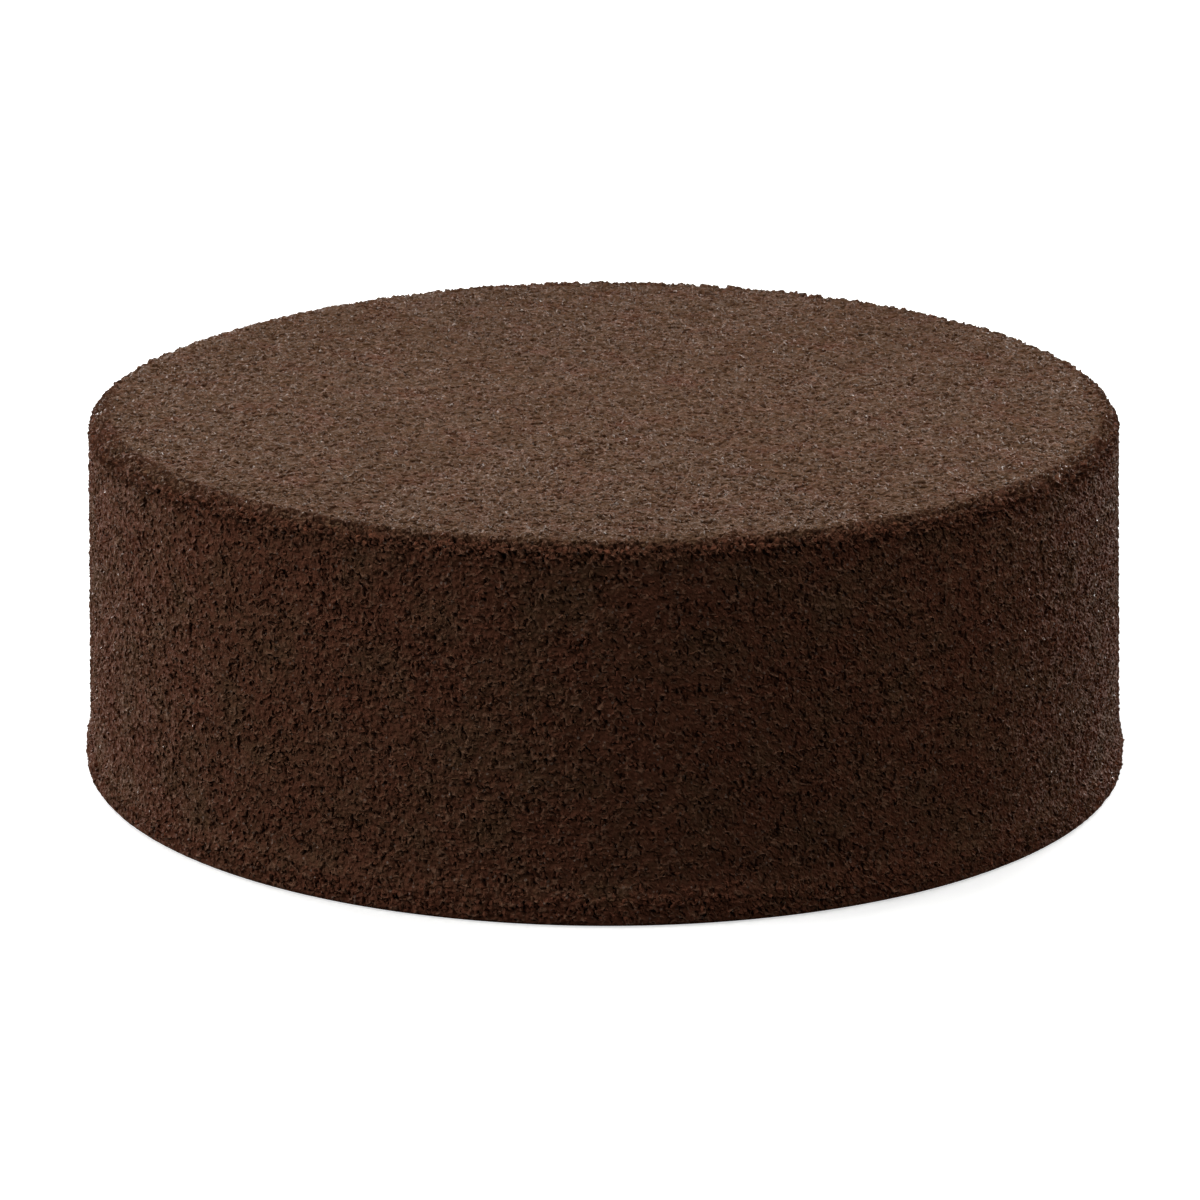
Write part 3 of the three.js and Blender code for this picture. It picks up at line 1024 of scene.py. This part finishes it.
def coat_tree():
    tree = bpy.data.node_groups.new("crumb coat", "GeometryNodeTree")
    for name, kind in COAT_INPUTS.items():
        tree.interface.new_socket(name, in_out="INPUT", socket_type="NodeSocket" + kind)
    tree.interface.new_socket("Geometry", in_out="OUTPUT", socket_type="NodeSocketGeometry")
    given = add(tree, "NodeGroupInput").outputs
    points, flat = points_on_bed(tree, given)

    # A crumb on each point, with three random numbers that its material reads.
    crumb = add(tree, "GeometryNodeObjectInfo", inputs={"Object": given["Crumb"]})
    laid = {
        "Points": points,
        "Instance": crumb.outputs["Geometry"],
        "Rotation": random_turn(tree, flat, given["Tilt"]),
        "Scale": random_scale(tree, given),
    }
    laid = add(tree, "GeometryNodeInstanceOnPoints", inputs=laid)
    chance = {"Min": (0, 0, 0), "Max": (1, 1, 1), "Seed": CHANCE_SEED}
    chance = add(tree, "FunctionNodeRandomValue", VECTORS, chance)
    on_crumbs = {"data_type": "FLOAT_VECTOR", "domain": "INSTANCE"}
    marked = {"Geometry": laid, "Name": "chance", "Value": chance}
    marked = add(tree, "GeometryNodeStoreNamedAttribute", on_crumbs, marked)

    # Real mesh, bent out of shape.
    real = add(tree, "GeometryNodeRealizeInstances", inputs={"Geometry": marked})
    here = add(tree, "GeometryNodeInputPosition")
    look_up = {"Vector": here, "Scale": 1 / BEND, "Detail": 1.0}
    bend = add(tree, "ShaderNodeTexNoise", inputs=look_up).outputs["Color"]
    centred = add(tree, "ShaderNodeVectorMath", MINUS, {0: bend, 1: MIDDLE})
    push = add(tree, "ShaderNodeVectorMath", SCALED, {0: centred, "Scale": given["Stray"]})
    moved = add(tree, "GeometryNodeSetPosition", inputs={"Geometry": real, "Offset": push})
    done = {"Geometry": moved, "Material": given["Material"]}
    done = add(tree, "GeometryNodeSetMaterial", inputs=done)
    add(tree, "NodeGroupOutput", inputs={0: done})
    print("coat tree has", len(tree.nodes), "nodes")
    return tree


crumb_coat = coat_tree()

# %% [markdown]
# ## The loose crumbs' finish
#
# Sieved crumb is the same baked cake in single lumps. They could share the skin's pattern, but it
# would cut one lump into several colours. Instead each lump keeps three random numbers from the
# tree, and they give it a brown of its own. Along the rim and the foot the crumb was freshly broken:
# redder, more uneven, and with more moist facets, which are shinier and carry a painted glint.

# %% Material of the loose crumbs
LOOSE_BUMP = 0.2 * MM
# name: (push towards red, how far the lightness varies, share of moist specks, which carry a painted
# glint)
LOOSE_LOOKS = {
    "sieved chocolate cake crumb": (0.0, 0.15, 0.06),
    "freshly broken chocolate cake crumb": (0.25, 0.4, 0.2),
}


def loose_material(name, redness, lightness, specks):
    """Loose cake crumb: each lump one brown, between dry grey and fresh red."""
    material = crumb_material(name)
    shade = material.node_tree
    where = add(shade, "ShaderNodeTexCoord").outputs["Object"]
    chance = add(shade, "ShaderNodeAttribute", {"attribute_name": "chance"}).outputs["Vector"]
    lots = add(shade, "ShaderNodeSeparateXYZ", inputs={0: chance}).outputs
    tone = crumb_brown(shade, where, lots["Y"], redness)
    light = {"Value": lots["Z"], "To Min": 1 - lightness, "To Max": 1 + lightness}
    light = add(shade, "ShaderNodeMapRange", inputs=light)
    colour = add(shade, "ShaderNodeVectorMath", SCALED, {0: tone, "Scale": light})
    finish(shade, where, colour, grit(shade, where), LOOSE_BUMP, specks)
    print(material.name, "has", len(shade.nodes), "nodes")
    return material


loose_crumb, edge_crumb = [loose_material(name, *look) for name, look in LOOSE_LOOKS.items()]

# %% The kinds of loose crumb
WALL_FROM = 1.5 * MM
TOP_FROM = HEIGHT - 1.5 * MM
RIM_FROM = HEIGHT - 3.2 * MM
RIM_INSIDE = TOP_RADIUS - 3.2 * MM
ABOVE_ALL = 1.0
ANYWHERE = -1.0
STRAY = 0.5 * MM
FLAT = 0.25  # radians, how far a thread may tilt off the surface

KINDS = {
    # name: (spacing, seed, lowest, highest, innermost, width, proportions, unevenness, sunk)
    # Spacing, width and sunk are in millimetres, the three limits in metres.
    "wall_fine": (2.0, 3, WALL_FROM, TOP_FROM, ANYWHERE, 0.8, (1, 0.9, 0.8), 0.25, 0.2),
    "wall_blocky": (2.6, 5, WALL_FROM, TOP_FROM, ANYWHERE, 1.1, (1, 0.85, 0.8), 0.25, 0.3),
    "wall_threads": (2.6, 8, WALL_FROM, TOP_FROM, ANYWHERE, 1.2, (1.4, 0.45, 0.45), 0.25, 0.05),
    "top_fine": (3.0, 13, TOP_FROM, ABOVE_ALL, ANYWHERE, 0.8, (1, 0.9, 0.8), 0.25, 0.1),
    "top_blocky": (3.2, 15, TOP_FROM, ABOVE_ALL, ANYWHERE, 1.1, (1, 0.85, 0.8), 0.25, 0.2),
    "top_threads": (3.0, 18, TOP_FROM, ABOVE_ALL, ANYWHERE, 1.3, (1.4, 0.45, 0.45), 0.25, 0.05),
    "rim_crumb": (1.6, 9, RIM_FROM, ABOVE_ALL, RIM_INSIDE, 1.6, (1, 0.85, 0.8), 0.45, 0.45),
    "foot_crumb": (1.9, 11, 1.2 * MM, 7 * MM, ANYWHERE, 1.4, (1, 0.85, 0.8), 0.35, 0.3),
}


# %% Lay them
def lay(name, spacing, seed, lowest, highest, innermost, width, proportions, unevenness, sunk):
    """One kind of crumb over its part of the bed, as one plain mesh."""
    lump = crumb_lump(name + "_lump")
    piece = bpy.data.objects.new(name, bed)
    bpy.context.collection.objects.link(piece)
    given = {
        "Spacing": spacing * MM,
        "Seed": seed,
        "Lowest": lowest,
        "Highest": highest,
        "Innermost": innermost,
        "Crumb": lump,
        "Width": width * MM,
        "Proportions": proportions,
        "Tilt": FLAT if "threads" in name else math.pi,
        "Unevenness": unevenness,
        "Stray": STRAY,
        "Sunk": sunk * MM,
        "Material": edge_crumb if name in ("rim_crumb", "foot_crumb") else loose_crumb,
    }
    grow(piece, crumb_coat, given)
    bpy.data.objects.remove(lump)
    return piece


crumbs = [lay(name, *kind) for name, kind in KINDS.items()]

# %% [markdown]
# ## Hand the pieces over
#
# The cake is one body that doesn't move, so every piece rides on the root. The six slices of skin
# stand for the solid cake, which stays as what the physics touches.

# %% Ride and replace
for piece in slices + crumbs:
    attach(piece, "root")
for piece in slices:
    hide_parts("cake")
